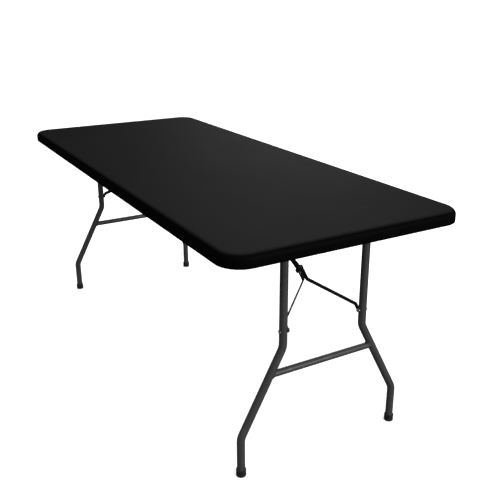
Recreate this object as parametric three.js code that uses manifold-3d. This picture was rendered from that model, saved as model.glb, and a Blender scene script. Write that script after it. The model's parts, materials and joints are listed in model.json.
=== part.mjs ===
// Folding table: a hollow moulded top on two folding steel leg frames, each held open by a jointed
// brace with a sliding lock ring. Millimetres, +Z up; the origin is on the floor under the centre of
// the top, +X runs along the top and -Y is the front.
import * as THREE from "three";
import { mergeVertices } from "three/addons/utils/BufferGeometryUtils.js";
import Module from "manifold-3d";

const wasm = await Module();
wasm.setup();

// ---------------------------------------------------------------- driving dimensions
const TABLE_LENGTH = 1829;
const TABLE_WIDTH = 762;
const TABLE_HEIGHT = 737;

const TOP_DEPTH = 38; // top surface down to the lip's lower edge
const CORNER_RADIUS = 70; // of the top, in plan
const EDGE_RADIUS = 18; // round along the top edge
const SKIN = 3; // wall of both mouldings
const RECESS_DEPTH = 16; // the underside's flat, above the lip's lower edge
const LIP_WIDTH = 30; // flat band around the recess
const RECESS_SLOPE = 5; // run of the recess's sloping wall
const FLANGE_HEIGHT = 7; // upstand of the underside inside the top's skirt

const RAIL_INSET = 59; // rail centre, in from the long edge
const RAIL_WIDTH = 20;
const RAIL_HEIGHT = 17;
const RAIL_WALL = 1.2;
const RAIL_OVERHANG = 60; // rail past the leg pivot
const CAP_PLATE = 3;
const CAP_SPIGOT = 12;

const LEG_INSET = 136.5; // leg pivot, in from the short edge
const PIVOT_DROP = 43; // leg pivot, below the underside
const LEG_TUBE_R = 12;
const PIVOT_TUBE_R = 12;
const CROSSBAR_R = 10;
const TUBE_WALL = 1.2;
const LEG_SPREAD = 139; // leg centre from the middle, above the knee
const FOOT_INSET = 105; // foot centre, in from the long edge
const KNEE_DROP = 292; // knee, below the leg pivot
const ANKLE_HEIGHT = 125; // lower bend, above the floor
const BEND_RADIUS = 48;
const CROSSBAR_DROP = 369; // crossbar, below the leg pivot

const FOOT_WALL = 2.7;
const FOOT_SOLE = 3;
const FOOT_HEIGHT = 22;

const BRACKET_PLATE = 2.5; // stamped sheet of the hinge and brace brackets
const BRACKET_LENGTH = 96;
const EAR_GAP = 11; // leg tube to the nearest ear
const EAR_PITCH = 31; // between the two ears of a hinge bracket
const EAR_RIM = 6; // metal around an ear's hole
const EAR_FLARE = 6; // extra half width of an ear at its root
const HINGE_SCREW_PITCH = 68;
const PIVOT_OVERHANG = 5; // pivot tube past the outer ear

const BOLT_DROP = 242; // brace bolt, below the leg pivot
const KNUCKLE_INSET = 118; // brace knuckle, in from the leg pivot
const KNUCKLE_DROP = 137; // brace knuckle, below the leg pivot
const LINK_PIVOT_INSET = 467; // link's upper pin, in from the leg pivot
const LINK_PIVOT_DROP = 25; // link's upper pin, below the underside
const LINK_R = 7.5;
const LINK_FLAT_R = 4.2; // half width of the link's pressed ends
const LINK_TALL_R = 10.2; // half height of the link's pressed ends
const LINK_PRESS = 26; // pressed length, in from each pin
const LINK_TAPER = 20; // from the pressed oval to the round tube
const LINK_END = 7.5; // tube past each of its pins
const STRAP_THICK = 3;
const STRAP_HEIGHT = 15;
const STRAP_TAIL = 13; // strap past the knuckle pin
const STRAP_PARALLEL = 24; // straight run before the straps splay
const STRAP_TAB = 22; // straight run before the leg bolt
const STRAP_END = 8; // strap past the leg bolt
const STRAP_BEND = 7;
const BRACE_BRACKET_LENGTH = 36;
const BRACE_BRACKET_WIDTH = 66;
const BRACE_SCREW_PITCH = 46;

const PIN_R = 2.5;
const PIN_HEAD_R = 4.5;
const PIN_HEAD = 2;
const BOLT_HEAD_R = 6;
const BOLT_HEAD = 2.6;
const NUT_R = 5; // across corners, halved
const NUT_HEIGHT = 5;
const RING_WIRE_R = 1.9;
const RING_ROOM = 0.7; // ring to strap sideways, and to the link's pressed end above and below
const RING_CORNER = 4.3; // inside
const RING_BACK = 15; // ring, back from the knuckle pin along the link

const SCREW_R = 2.1;
const SCREW_HEAD_R = 5;
const SCREW_HEAD = 2.4;
const SCREW_LENGTH = 12;
const CROWN = 0.7; // flat crown of a domed head, as a share of its radius
const RIM = 0.35; // straight rim of a domed head, as a share of its height

const GAP = 0.3; // between pieces that touch
const RUN = 0.4; // between pieces that slide on each other
const STRAP_SIDE_GAP = 0.6; // strap to leg

const TUBE_SIDES = 16;
const PIN_SIDES = 12;
const SCREW_SIDES = 8;
const EAR_STEPS = 8;
const BEND_STEPS = 4;
const CORNER_STEPS = 6;
const EDGE_STEPS = 6;
const INNER_EDGE_STEPS = 3;
const LONG_SIDE_SPANS = 8;
const RING_CORNER_STEPS = 3;
const WIRE_SIDES = 8;

// ---------------------------------------------------------------- derived places
const lipZ = TABLE_HEIGHT - TOP_DEPTH;
const undersideZ = lipZ + RECESS_DEPTH;
const legX = TABLE_LENGTH / 2 - LEG_INSET;
const pivotZ = undersideZ - PIVOT_DROP;
const footY = TABLE_WIDTH / 2 - FOOT_INSET;
const railY = TABLE_WIDTH / 2 - RAIL_INSET;
const railZ = undersideZ - GAP - RAIL_HEIGHT / 2;
const railEndX = legX + RAIL_OVERHANG;
const kneeZ = -KNEE_DROP; // heights in a leg frame are measured from its pivot
const ankleZ = ANKLE_HEIGHT - pivotZ;
const tubeEndZ = FOOT_SOLE + GAP - pivotZ;
const slantAngle = Math.atan2(footY - LEG_SPREAD, kneeZ - ankleZ);
const crossbarY = LEG_SPREAD + (CROSSBAR_DROP - KNEE_DROP) * Math.tan(slantAngle);
const innerEarY = LEG_SPREAD + LEG_TUBE_R + EAR_GAP;
const bracketY = innerEarY + EAR_PITCH / 2;
const pivotHalf = innerEarY + EAR_PITCH + BRACKET_PLATE / 2 + PIVOT_OVERHANG;
const webZ = undersideZ - GAP - BRACKET_PLATE; // lower face of every bracket's web

const leg = new THREE.Vector2(legX, pivotZ); // side view: x along the table, y up
const bolt = new THREE.Vector2(legX, pivotZ - BOLT_DROP);
const knuckle = new THREE.Vector2(legX - KNUCKLE_INSET, pivotZ - KNUCKLE_DROP);
const linkPivot = new THREE.Vector2(legX - LINK_PIVOT_INSET, undersideZ - LINK_PIVOT_DROP);
const linkLength = linkPivot.distanceTo(knuckle);
const linkAngle = Math.atan2(linkPivot.y - knuckle.y, knuckle.x - linkPivot.x);
const strapLength = knuckle.distanceTo(bolt);
const strapAngle = Math.atan2(knuckle.y - bolt.y, bolt.x - knuckle.x);
const strapNarrow = LINK_FLAT_R + RUN + STRAP_THICK / 2; // strap centre beside the link
const strapWide = LEG_SPREAD - LEG_TUBE_R - STRAP_SIDE_GAP - STRAP_THICK / 2; // and beside the leg
const braceEarY = LINK_FLAT_R + RUN + BRACKET_PLATE / 2;

// ---------------------------------------------------------------- materials
const finish = (color, roughness, metalness) =>
  new THREE.MeshStandardMaterial({ color, roughness, metalness });
const blackMoulding = finish(0x26262a, 0.62, 0);
const undersideMoulding = finish(0x202023, 0.7, 0);
const blackSteel = finish(0x2c2d30, 0.42, 0.35);
const zincSteel = finish(0xb9bcc0, 0.35, 0.9);
const blackPlastic = finish(0x141415, 0.6, 0);

// ---------------------------------------------------------------- geometry helpers
const alongY = (geometry) => geometry.rotateX(Math.PI / 2);

function toSolid(geometry) {
  const plain = geometry.clone();
  plain.deleteAttribute("normal");
  plain.deleteAttribute("uv");
  const merged = mergeVertices(plain, 1e-4);
  const triVerts = Uint32Array.from(merged.index.array);
  const vertProperties = Float32Array.from(merged.attributes.position.array);
  return new wasm.Manifold(new wasm.Mesh({ numProp: 3, vertProperties, triVerts }));
}

function toGeometry(solid) {
  const mesh = solid.getMesh();
  const geometry = new THREE.BufferGeometry();
  geometry.setAttribute("position", new THREE.BufferAttribute(Float32Array.from(mesh.vertProperties), 3));
  geometry.setIndex(Array.from(mesh.triVerts));
  geometry.computeVertexNormals();
  return geometry;
}

function cut(body, tools) {
  const left = tools.reduce((solid, tool) => solid.subtract(toSolid(tool)), toSolid(body));
  return toGeometry(left);
}

function join(geometries) {
  const [first, ...others] = geometries.map(toSolid);
  return toGeometry(others.reduce((whole, piece) => whole.add(piece), first));
}

// A rod centred on the origin, along Y.
function rodY(radius, length, sides = PIN_SIDES) {
  return new THREE.CylinderGeometry(radius, radius, length, sides);
}

// A turned piece from its half outline of [radius, height], standing along Z.
function turned(outline, sides) {
  const points = outline.map(([radius, height]) => new THREE.Vector2(radius, height));
  return alongY(new THREE.LatheGeometry(points, sides));
}

function ringShape(outer, inner) {
  const shape = new THREE.Shape().absarc(0, 0, outer, 0, Math.PI * 2, false);
  shape.holes.push(new THREE.Path().absarc(0, 0, inner, 0, Math.PI * 2, true));
  return shape;
}

// A path through given stations, square to the path halfway round each turn.
class StationPath extends THREE.Curve {
  constructor(stations) {
    super();
    this.stations = stations;
  }
  getPoint(t, target = new THREE.Vector3()) {
    const place = t * (this.stations.length - 1);
    const from = Math.min(Math.floor(place), this.stations.length - 2);
    return target.lerpVectors(this.stations[from], this.stations[from + 1], place - from);
  }
  getPointAt(t, target) {
    return this.getPoint(t, target);
  }
  getTangentAt(t, target = new THREE.Vector3()) {
    const last = this.stations.length - 1;
    const here = Math.round(t * last);
    const run = (i) => this.stations[i + 1].clone().sub(this.stations[i]).normalize();
    return target.copy(run(Math.max(here - 1, 0))).add(run(Math.min(here, last - 1))).normalize();
  }
}

// The corners of a bent line, each rounded to a radius, as a list of points.
function roundedLine(corners, radius, steps) {
  const points = [corners[0]];
  for (let i = 1; i < corners.length - 1; i += 1) {
    const back = corners[i - 1].clone().sub(corners[i]).normalize();
    const ahead = corners[i + 1].clone().sub(corners[i]).normalize();
    const half = back.angleTo(ahead) / 2;
    const middle = back.clone().add(ahead).normalize();
    const centre = middle.multiplyScalar(radius / Math.sin(half)).add(corners[i]);
    const spoke = (way) => way.clone().multiplyScalar(radius / Math.tan(half)).add(corners[i]).sub(centre);
    const [start, end] = [spoke(back), spoke(ahead)];
    const turn = start.angleTo(end);
    for (let k = 0; k <= steps; k += 1) {
      const [a, b] = [1 - k / steps, k / steps].map((share) => Math.sin(turn * share) / Math.sin(turn));
      points.push(centre.clone().addScaledVector(start, a).addScaledVector(end, b));
    }
  }
  points.push(corners[corners.length - 1]);
  return points;
}

function bentTube(corners, outer, inner) {
  const stations = roundedLine(corners, BEND_RADIUS, BEND_STEPS);
  const options = {
    steps: stations.length - 1,
    extrudePath: new StationPath(stations),
    curveSegments: TUBE_SIDES / 2,
    bevelEnabled: false,
  };
  return new THREE.ExtrudeGeometry(ringShape(outer, inner), options);
}

function tubeY(outer, inner, length) {
  const options = { depth: length, curveSegments: TUBE_SIDES / 2, bevelEnabled: false };
  return alongY(new THREE.ExtrudeGeometry(ringShape(outer, inner), options)).translate(0, length / 2, 0);
}

// A plate of the given outline in the XZ plane, centred on Y = 0.
function plateXZ(shape, thickness) {
  const options = { depth: thickness, curveSegments: EAR_STEPS, bevelEnabled: false };
  return alongY(new THREE.ExtrudeGeometry(shape, options)).translate(0, thickness / 2, 0);
}

// A rounded rectangle, anticlockwise from the middle of its +X side, so that point k and the k-th from
// the end mirror each other across the X axis. Its long sides are split into spans.
function roundedOutline(length, width, radius, { steps, spans }) {
  const [x, y] = [length / 2 - radius, width / 2 - radius];
  const half = [];
  for (const side of [1, -1]) {
    for (let k = 0; k <= steps; k += 1) {
      const angle = (((side > 0 ? 0 : 1) + k / steps) * Math.PI) / 2;
      half.push([side * x + radius * Math.cos(angle), y + radius * Math.sin(angle)]);
    }
    for (let k = 1; k < spans && side > 0; k += 1) {
      half.push([x * (1 - (2 * k) / spans), y + radius]);
    }
  }
  return [...half, ...half.map(([px, py]) => [px, -py]).reverse()];
}

// The triangles between each loop of a stack and the next, and from the last back to the first.
function bands(loopCount, count, closed) {
  const index = [];
  for (let i = 0; i < (closed ? loopCount : loopCount - 1); i += 1) {
    for (let k = 0; k < count; k += 1) {
      const [a, b] = [i * count + k, i * count + ((k + 1) % count)];
      const next = ((i + 1) % loopCount) * count;
      const [c, d] = [next + k, next + ((k + 1) % count)];
      index.push(a, b, d, a, d, c);
    }
  }
  return index;
}

function solidFrom(loops, index) {
  const geometry = new THREE.BufferGeometry();
  geometry.setAttribute("position", new THREE.Float32BufferAttribute(loops.flat(2), 3));
  geometry.setIndex(index);
  geometry.computeVertexNormals();
  return geometry;
}

// Carries a section of [inset, height] points around a rounded rectangle. An open section is capped
// flat across the rectangle at both ends; a closed one makes a ring.
function aroundOutline({ length, width, radius, split }, section, closed) {
  const outline = (inset) => roundedOutline(length - 2 * inset, width - 2 * inset, radius - inset, split);
  const loops = section.map(([inset, height]) => outline(inset).map(([x, y]) => [x, y, height]));
  const count = loops[0].length;
  const index = bands(loops.length, count, closed);
  const top = (loops.length - 1) * count;
  for (let k = 1; k < count / 2 && !closed; k += 1) {
    const [a, b, c, d] = [k - 1, k, count - k, count - 1 - k]; // a strip from one long side to the other
    index.push(a, c, b, b, c, d, top + a, top + b, top + c, top + b, top + d, top + c);
  }
  return solidFrom(loops, index);
}

const topOutline = {
  length: TABLE_LENGTH,
  width: TABLE_WIDTH,
  radius: CORNER_RADIUS,
  split: { steps: CORNER_STEPS, spans: LONG_SIDE_SPANS },
};

function arcPoints(steps, place) {
  return Array.from({ length: steps + 1 }, (_, k) => place(((k / steps) * Math.PI) / 2));
}

// ---------------------------------------------------------------- top
function topPanelGeometry() {
  const [outer, inner] = [EDGE_RADIUS, EDGE_RADIUS - SKIN];
  const shoulder = TABLE_HEIGHT - EDGE_RADIUS;
  const arc = (radius, inset) => (a) => [inset + radius * (1 - Math.cos(a)), shoulder + radius * Math.sin(a)];
  const inside = arcPoints(INNER_EDGE_STEPS, arc(inner, SKIN)).reverse();
  const outside = arcPoints(EDGE_STEPS, arc(outer, 0));
  const edge = [[SKIN, lipZ], [SKIN / 2, lipZ], [0, lipZ + SKIN / 2]];
  return aroundOutline(topOutline, [...inside, ...edge, ...outside], false);
}

function screwPlaces() {
  const places = [];
  for (const end of [1, -1]) {
    for (const side of [1, -1]) {
      for (const step of [1, -1]) {
        places.push([end * (legX + (step * HINGE_SCREW_PITCH) / 2), side * bracketY]);
      }
      places.push([end * linkPivot.x, (side * BRACE_SCREW_PITCH) / 2]);
    }
  }
  return places;
}

function undersideGeometry() {
  const outerInset = SKIN + GAP;
  const lipInset = outerInset + LIP_WIDTH;
  const flatInset = lipInset + RECESS_SLOPE;
  const section = [
    [flatInset, undersideZ],
    [lipInset, lipZ],
    [outerInset, lipZ],
    [outerInset, lipZ + FLANGE_HEIGHT],
    [outerInset + SKIN, lipZ + FLANGE_HEIGHT],
    [outerInset + SKIN, lipZ + SKIN],
    [lipInset + SKIN / 4, lipZ + SKIN],
    [flatInset + SKIN / 2, undersideZ + SKIN],
  ];
  const panel = aroundOutline(topOutline, section, false);
  const bore = () => alongY(rodY(SCREW_R + GAP, 4 * SKIN, SCREW_SIDES));
  return cut(panel, screwPlaces().map(([x, y]) => bore().translate(x, y, undersideZ)));
}

function railGeometry() {
  const box = (width, height) => {
    const shape = new THREE.Shape();
    shape.moveTo(-width / 2, -height / 2).lineTo(width / 2, -height / 2);
    return shape.lineTo(width / 2, height / 2).lineTo(-width / 2, height / 2).closePath();
  };
  const shape = box(RAIL_HEIGHT, RAIL_WIDTH);
  shape.holes.push(box(RAIL_HEIGHT - 2 * RAIL_WALL, RAIL_WIDTH - 2 * RAIL_WALL));
  const rail = new THREE.ExtrudeGeometry(shape, { depth: 2 * railEndX, bevelEnabled: false });
  return rail.translate(0, 0, -railEndX).rotateY(Math.PI / 2);
}

// The plug in a rail's end, its plate facing +X.
function railCapGeometry() {
  const inside = 2 * (RAIL_WALL + GAP);
  const plate = new THREE.BoxGeometry(CAP_PLATE, RAIL_WIDTH, RAIL_HEIGHT).translate(CAP_PLATE / 2 + GAP, 0, 0);
  const spigot = new THREE.BoxGeometry(CAP_SPIGOT + CAP_PLATE / 2, RAIL_WIDTH - inside, RAIL_HEIGHT - inside);
  return join([plate, spigot.translate((CAP_PLATE / 2 - CAP_SPIGOT) / 2 + GAP, 0, 0)]);
}

// A stamped ear, its hole at the origin, reaching up to a web.
function earGeometry(holeR, reach) {
  const outer = holeR + EAR_RIM;
  const shape = new THREE.Shape();
  shape.moveTo(outer + EAR_FLARE, reach).lineTo(-outer - EAR_FLARE, reach).lineTo(-outer, 0);
  shape.absarc(0, 0, outer, Math.PI, Math.PI * 2, false);
  shape.closePath();
  shape.holes.push(new THREE.Path().absarc(0, 0, holeR, 0, Math.PI * 2, true));
  return plateXZ(shape, BRACKET_PLATE);
}

// A bracket with two ears hanging from a screwed web; its origin is the middle of the ears' holes.
function bracketGeometry({ holeR, rise, length, width, pitch, screws }) {
  const web = new THREE.BoxGeometry(length, width, BRACKET_PLATE).translate(0, 0, rise + BRACKET_PLATE / 2);
  const ear = (side) => earGeometry(holeR, rise + BRACKET_PLATE / 2).translate(0, (side * pitch) / 2, 0);
  const ears = [ear(1), ear(-1)];
  const bore = () => alongY(rodY(SCREW_R + GAP, 4 * BRACKET_PLATE, SCREW_SIDES));
  const drill = ([x, y]) => bore().translate(x, y, rise);
  return cut(join([web, ...ears]), screws.map(drill));
}

const hingeBracketGeometry = () => bracketGeometry({
  holeR: PIVOT_TUBE_R + RUN,
  rise: webZ - pivotZ,
  length: BRACKET_LENGTH,
  width: EAR_PITCH + BRACKET_PLATE,
  pitch: EAR_PITCH,
  screws: [[HINGE_SCREW_PITCH / 2, 0], [-HINGE_SCREW_PITCH / 2, 0]],
});

const braceBracketGeometry = () => bracketGeometry({
  holeR: PIN_R + GAP,
  rise: webZ - linkPivot.y,
  length: BRACE_BRACKET_LENGTH,
  width: BRACE_BRACKET_WIDTH,
  pitch: 2 * braceEarY,
  screws: [[0, BRACE_SCREW_PITCH / 2], [0, -BRACE_SCREW_PITCH / 2]],
});

// A pan-head screw, driven upwards; its origin is the underside of the web it holds.
function screwGeometry() {
  const head = -GAP;
  return turned(
    [[0, head - SCREW_HEAD], [SCREW_HEAD_R * CROWN, head - SCREW_HEAD],
      [SCREW_HEAD_R, head - SCREW_HEAD * RIM], [SCREW_HEAD_R, head], [SCREW_R, head],
      [SCREW_R, SCREW_LENGTH - SCREW_R], [0, SCREW_LENGTH]],
    SCREW_SIDES,
  );
}

// ---------------------------------------------------------------- leg frame, about its pivot
function legTubeGeometry() {
  const corners = [[LEG_SPREAD, 0], [LEG_SPREAD, kneeZ], [footY, ankleZ], [footY, tubeEndZ]];
  const tube = bentTube(
    corners.map(([y, z]) => new THREE.Vector3(0, y, z)),
    LEG_TUBE_R,
    LEG_TUBE_R - TUBE_WALL,
  );
  const saddle = rodY(PIVOT_TUBE_R + GAP, 4 * LEG_TUBE_R, TUBE_SIDES).translate(0, LEG_SPREAD, 0);
  const boltHole = rodY(PIN_R + GAP, 4 * LEG_TUBE_R).translate(0, LEG_SPREAD, -BOLT_DROP);
  return cut(tube, [saddle, boltHole]);
}

function crossbarGeometry() {
  const bar = tubeY(CROSSBAR_R, CROSSBAR_R - TUBE_WALL, 2 * crossbarY);
  const notch = (side) => alongY(rodY(LEG_TUBE_R + GAP, 8 * LEG_TUBE_R, TUBE_SIDES))
    .rotateX(side * slantAngle)
    .translate(0, side * crossbarY, 0);
  return cut(bar, [notch(1), notch(-1)]);
}

function footCapGeometry() {
  const [inner, outer] = [LEG_TUBE_R + GAP, LEG_TUBE_R + GAP + FOOT_WALL];
  const bevel = FOOT_SOLE / 2;
  return turned(
    [[0, 0], [outer - bevel, 0], [outer, bevel], [outer, FOOT_HEIGHT - bevel], [outer - bevel, FOOT_HEIGHT],
      [inner, FOOT_HEIGHT], [inner, FOOT_SOLE], [0, FOOT_SOLE]],
    TUBE_SIDES,
  );
}

// The brace bolt, along +Y with its head outside the leg; its origin is the leg's centre.
function boltGeometry() {
  const seat = LEG_TUBE_R + GAP;
  return turned(
    [[0, -LEG_TUBE_R], [PIN_R, -LEG_TUBE_R], [PIN_R, seat], [BOLT_HEAD_R, seat],
      [BOLT_HEAD_R, seat + BOLT_HEAD * RIM], [BOLT_HEAD_R * CROWN, seat + BOLT_HEAD], [0, seat + BOLT_HEAD]],
    PIN_SIDES,
  ).rotateX(-Math.PI / 2);
}

// ---------------------------------------------------------------- brace
// The link, along +X from its upper pin to the knuckle: a round tube pressed to an upright oval at
// both ends.
function linkGeometry() {
  const [flat, round] = [[LINK_FLAT_R, LINK_TALL_R], [LINK_R, LINK_R]];
  const stations = [
    [-LINK_END, flat],
    [LINK_PRESS, flat],
    [LINK_PRESS + LINK_TAPER, round],
    [linkLength - LINK_PRESS - LINK_TAPER, round],
    [linkLength - LINK_PRESS, flat],
    [linkLength + LINK_END, flat],
  ];
  const loop = (wall) => ([x, [wide, high]]) => Array.from({ length: TUBE_SIDES }, (_, k) => {
    const angle = (k / TUBE_SIDES) * Math.PI * 2;
    return [x, (wide - wall) * Math.cos(angle), (high - wall) * Math.sin(angle)];
  });
  const loops = [...stations.map(loop(0)), ...stations.map(loop(TUBE_WALL)).reverse()];
  const tube = solidFrom(loops, bands(loops.length, TUBE_SIDES, true));
  const hole = (x) => rodY(PIN_R + GAP, 4 * LINK_R).translate(x, 0, 0);
  return cut(tube, [hole(0), hole(linkLength)]);
}

// A headed pin along Y, long enough to pass a given half width.
function pinGeometry(halfWidth) {
  const [tip, seat] = [halfWidth + GAP, halfWidth + GAP + PIN_HEAD];
  return turned(
    [[0, -seat], [PIN_HEAD_R * CROWN, -seat], [PIN_HEAD_R, -tip - PIN_HEAD * RIM], [PIN_HEAD_R, -tip],
      [PIN_R, -tip], [PIN_R, tip], [PIN_HEAD_R, tip], [PIN_HEAD_R, tip + PIN_HEAD * RIM],
      [PIN_HEAD_R * CROWN, seat], [0, seat]],
    PIN_SIDES,
  ).rotateX(-Math.PI / 2);
}

// One strap of the fork, on edge, along +X from the knuckle and splayed towards +Y.
function strapGeometry() {
  const lean = (strapLength - STRAP_TAB - STRAP_PARALLEL) / (strapWide - strapNarrow);
  const corners = [
    [-STRAP_TAIL, strapNarrow],
    [STRAP_PARALLEL, strapNarrow],
    [STRAP_PARALLEL + lean * (strapWide - strapNarrow), strapWide],
    [strapLength + STRAP_END, strapWide],
  ].map(([x, y]) => new THREE.Vector3(x, y, 0));
  const line = roundedLine(corners, STRAP_BEND, BEND_STEPS);
  const path = new StationPath(line);
  const offset = (side) => line.map((point, i) => {
    const run = path.getTangentAt(i / (line.length - 1));
    const out = (side * STRAP_THICK) / 2;
    return new THREE.Vector2(point.x - out * run.y, point.y + out * run.x);
  });
  const shape = new THREE.Shape([...offset(-1), ...offset(1).reverse()]);
  const strap = new THREE.ExtrudeGeometry(shape, { depth: STRAP_HEIGHT, bevelEnabled: false });
  strap.translate(0, 0, -STRAP_HEIGHT / 2);
  const hole = (x, y) => rodY(PIN_R + GAP, 4 * STRAP_THICK).translate(x, y, 0);
  return cut(strap, [hole(0, strapNarrow), hole(strapLength, strapWide)]);
}

// The strap's own stud and hexagon nut, along Y; the nut is on the -Y side of the strap's centre.
function nutGeometry() {
  const face = -STRAP_THICK / 2 - GAP;
  const nut = rodY(NUT_R, NUT_HEIGHT, 6).translate(0, face - NUT_HEIGHT / 2, 0);
  const [inner, outer] = [face - NUT_HEIGHT / 2, STRAP_THICK / 2];
  const stud = rodY(PIN_R, outer - inner).translate(0, (outer + inner) / 2, 0);
  return join([nut, stud]);
}

// The lock ring, around the X axis.
function ringGeometry() {
  const wire = 2 * RING_WIRE_R;
  const halfWidth = strapNarrow + STRAP_THICK / 2 + RING_ROOM + wire;
  const halfHeight = LINK_TALL_R + RING_ROOM + wire;
  const section = Array.from({ length: WIRE_SIDES }, (_, k) => {
    const angle = -(k / WIRE_SIDES) * Math.PI * 2;
    return [RING_WIRE_R * (1 + Math.cos(angle)), RING_WIRE_R * Math.sin(angle)];
  });
  const outline = {
    length: 2 * halfHeight,
    width: 2 * halfWidth,
    radius: RING_CORNER + wire,
    split: { steps: RING_CORNER_STEPS, spans: 1 },
  };
  return aroundOutline(outline, section, true).rotateY(Math.PI / 2);
}

// ---------------------------------------------------------------- assembly
const table = new THREE.Group();
table.name = "folding_table";

function add(parent, name, geometry, material, position = [0, 0, 0], rotation = [0, 0, 0]) {
  const mesh = new THREE.Mesh(geometry, material);
  mesh.name = name;
  mesh.position.set(...position);
  mesh.rotation.set(...rotation);
  parent.add(mesh);
}

function groupAt(parent, position, rotation = [0, 0, 0]) {
  const group = new THREE.Group();
  group.position.set(...position);
  group.rotation.set(...rotation);
  parent.add(group);
  return group;
}

add(table, "top_panel", topPanelGeometry(), blackMoulding);
add(table, "underside_panel", undersideGeometry(), undersideMoulding);

for (const side of [-1, 1]) {
  const sideName = side < 0 ? "front" : "back";
  add(table, `side_rail_${sideName}`, railGeometry(), blackSteel, [0, side * railY, railZ]);
}

// Each end is built at +X and turned about Z for the other end, so front and back change places.
for (const end of [1, -1]) {
  const endName = end > 0 ? "right" : "left";
  const half = groupAt(table, [0, 0, 0], [0, 0, end > 0 ? 0 : Math.PI]);
  const frame = groupAt(half, [legX, 0, pivotZ]);
  const link = groupAt(half, [linkPivot.x, 0, linkPivot.y], [0, linkAngle, 0]);
  const fork = groupAt(half, [knuckle.x, 0, knuckle.y], [0, strapAngle, 0]);

  add(half, `brace_bracket_${endName}`, braceBracketGeometry(), blackSteel, [linkPivot.x, 0, linkPivot.y]);
  const bracePin = pinGeometry(braceEarY + BRACKET_PLATE / 2);
  add(half, `brace_bracket_pin_${endName}`, bracePin, zincSteel, [linkPivot.x, 0, linkPivot.y]);
  add(frame, `pivot_tube_${endName}`, tubeY(PIVOT_TUBE_R, PIVOT_TUBE_R - TUBE_WALL, 2 * pivotHalf), blackSteel);
  add(frame, `crossbar_${endName}`, crossbarGeometry(), blackSteel, [0, 0, -CROSSBAR_DROP]);
  add(link, `brace_link_${endName}`, linkGeometry(), blackSteel);
  const forkHalf = strapNarrow + STRAP_THICK / 2;
  add(link, `knuckle_pin_${endName}`, pinGeometry(forkHalf), zincSteel, [linkLength, 0, 0]);
  add(link, `lock_ring_${endName}`, ringGeometry(), blackSteel, [linkLength - RING_BACK, 0, 0]);

  for (const side of [-1, 1]) {
    const tag = `${endName}_${side * end < 0 ? "front" : "back"}`;
    const turn = side > 0 ? 0 : Math.PI;
    add(half, `rail_cap_${tag}`, railCapGeometry(), blackPlastic, [railEndX, side * railY, railZ]);
    add(half, `hinge_bracket_${tag}`, hingeBracketGeometry(), blackSteel, [legX, side * bracketY, pivotZ]);
    for (const [place, step] of [["inner", -1], ["outer", 1]]) {
      const x = legX + (step * HINGE_SCREW_PITCH) / 2;
      add(half, `hinge_screw_${tag}_${place}`, screwGeometry(), zincSteel, [x, side * bracketY, webZ]);
    }
    const screwY = (side * BRACE_SCREW_PITCH) / 2;
    add(half, `brace_screw_${tag}`, screwGeometry(), zincSteel, [linkPivot.x, screwY, webZ]);
    add(frame, `leg_tube_${tag}`, legTubeGeometry(), blackSteel, [0, 0, 0], [0, 0, turn]);
    add(frame, `foot_cap_${tag}`, footCapGeometry(), blackPlastic, [0, side * footY, -pivotZ]);
    const boltPlace = [0, side * LEG_SPREAD, -BOLT_DROP];
    add(frame, `brace_bolt_${tag}`, boltGeometry(), zincSteel, boltPlace, [0, 0, turn]);
    add(fork, `brace_strap_${tag}`, strapGeometry(), blackSteel, [0, 0, 0], [turn, 0, 0]);
    const nutPlace = [strapLength, side * strapWide, 0];
    add(fork, `brace_nut_${tag}`, nutGeometry(), zincSteel, nutPlace, [turn, 0, 0]);
  }
}

export default table;
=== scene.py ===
"""A black folding table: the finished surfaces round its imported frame. Metres, +Z up, origin on the floor."""
import json
import math

import bpy
from mathutils import Matrix, Vector
from mathutils.geometry import delaunay_2d_cdt


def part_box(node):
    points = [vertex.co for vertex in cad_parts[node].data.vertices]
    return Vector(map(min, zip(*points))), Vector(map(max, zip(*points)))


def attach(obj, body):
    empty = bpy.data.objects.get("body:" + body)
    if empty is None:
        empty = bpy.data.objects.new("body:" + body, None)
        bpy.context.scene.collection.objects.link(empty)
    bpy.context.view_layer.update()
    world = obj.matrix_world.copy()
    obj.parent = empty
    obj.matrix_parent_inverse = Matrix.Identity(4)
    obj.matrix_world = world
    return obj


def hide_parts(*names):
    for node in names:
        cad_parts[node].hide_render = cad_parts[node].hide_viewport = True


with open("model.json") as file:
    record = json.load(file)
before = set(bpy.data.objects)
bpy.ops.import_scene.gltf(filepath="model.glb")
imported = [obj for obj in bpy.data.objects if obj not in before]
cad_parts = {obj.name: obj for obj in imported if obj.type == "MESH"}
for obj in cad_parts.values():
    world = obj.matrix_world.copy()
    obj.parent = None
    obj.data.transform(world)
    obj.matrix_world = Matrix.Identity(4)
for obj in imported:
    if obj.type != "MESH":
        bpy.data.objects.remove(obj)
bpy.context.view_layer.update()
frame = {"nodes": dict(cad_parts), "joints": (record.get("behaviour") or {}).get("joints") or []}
MM = 0.001
TOP_LOW, TOP_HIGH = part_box("top_panel")


# ---------------------------------------------------------------- mixing paint
class Value:
    """A number or colour that changes from place to place, and can be used in sums."""

    def __init__(self, nodes, socket):
        self.nodes = nodes
        self.socket = socket

    def sum(self, operation, first, second):
        return self.nodes.node("ShaderNodeMath", {"operation": operation}, first, second)

    def __add__(self, other):
        return self.sum("ADD", self, other)

    def __sub__(self, other):
        return self.sum("SUBTRACT", self, other)

    def __rsub__(self, other):
        return self.sum("SUBTRACT", other, self)

    def __mul__(self, other):
        return self.sum("MULTIPLY", self, other)

    __radd__ = __add__
    __rmul__ = __mul__

    def over(self, low, high, bottom=0.0, top=1.0):
        """bottom below low, top above high and smooth between them."""
        settings = {"interpolation_type": "SMOOTHSTEP"}
        return self.nodes.node("ShaderNodeMapRange", settings, self, low, high, bottom, top)


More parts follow.
